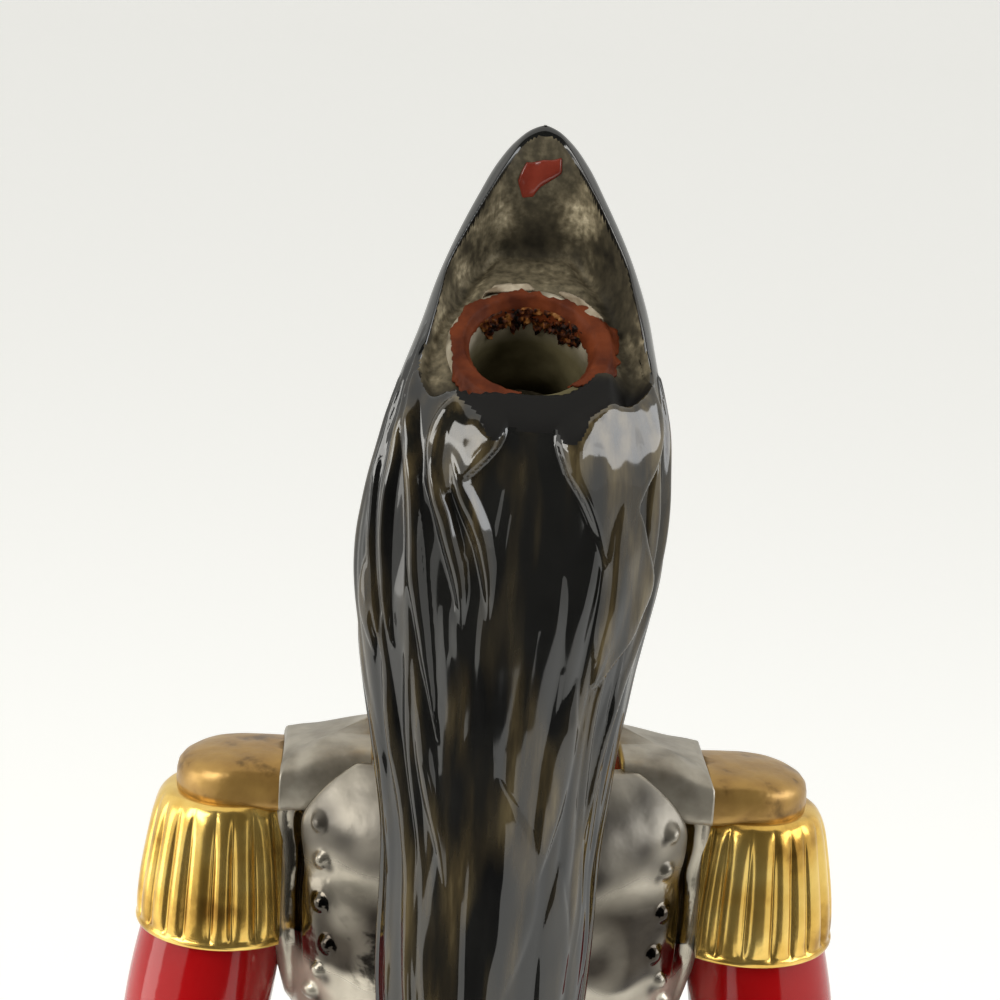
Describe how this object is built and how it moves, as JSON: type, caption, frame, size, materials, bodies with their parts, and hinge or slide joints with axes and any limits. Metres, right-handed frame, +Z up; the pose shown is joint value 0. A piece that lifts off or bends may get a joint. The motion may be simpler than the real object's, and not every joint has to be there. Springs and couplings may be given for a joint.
{
  "type": "figural liquor decanter",
  "caption": "Glazed ceramic decanter shaped as a standing helmeted cavalry trooper, poured from an open neck in the back of the horsehair crest.",
  "frame": {"origin": "centre of the plinth's underside, on the floor", "axes": "+Z up, the figure faces -Y and its left side is +X"},
  "size_m": [0.136, 0.136, 0.427],
  "materials": {
    "black_glaze": "glossy black glaze, thin and olive brown on the ridges",
    "white_glaze": "glossy white glaze",
    "red_glaze": "glossy deep red glaze",
    "flesh_glaze": "satin flesh glaze",
    "platinum_lustre": "metallic platinum lustre over glaze",
    "gold_lustre": "metallic gold lustre over glaze",
    "bare_ceramic": "unglazed, dusty",
    "seal_paper": "torn red paper seal",
    "cork": "natural cork"
  },
  "bodies": {
    "figure": {"plinth": "black_glaze", "left_boot": "black_glaze", "right_boot": "black_glaze", "left_thigh": "white_glaze", "right_thigh": "white_glaze", "hip_casting": "white_glaze", "torso_casting": "red_glaze", "coat_skirt": "red_glaze", "waist_belt": "white_glaze", "belt_buckle": "gold_lustre", "breastplate": "platinum_lustre", "backplate": "platinum_lustre", "left_shoulder_strap": "platinum_lustre", "right_shoulder_strap": "platinum_lustre", "collar": "gold_lustre", "left_sleeve": "red_glaze", "right_sleeve": "red_glaze", "left_cuff": "white_glaze", "right_cuff": "white_glaze", "left_hand": "white_glaze", "right_hand": "white_glaze", "left_epaulette_board": "gold_lustre", "right_epaulette_board": "gold_lustre", "left_epaulette_fringe": "gold_lustre", "right_epaulette_fringe": "gold_lustre", "head_casting": "flesh_glaze", "helmet_skull": "platinum_lustre", "helmet_band": "gold_lustre", "helmet_peak": "gold_lustre", "helmet_comb": "gold_lustre", "chin_scales": "gold_lustre", "mane": "black_glaze", "pour_neck": "bare_ceramic", "rim_seal_remains": "seal_paper", "seal_scrap": "seal_paper"},
    "stopper": {"stopper_cork": "cork", "stopper_head": "black_glaze"}
  },
  "joints": [
    {"name": "stopper_lift", "type": "slide", "parent": "figure", "child": "stopper", "axis": [0, 0, 1], "range_m": [0, 0.1]}
  ]
}
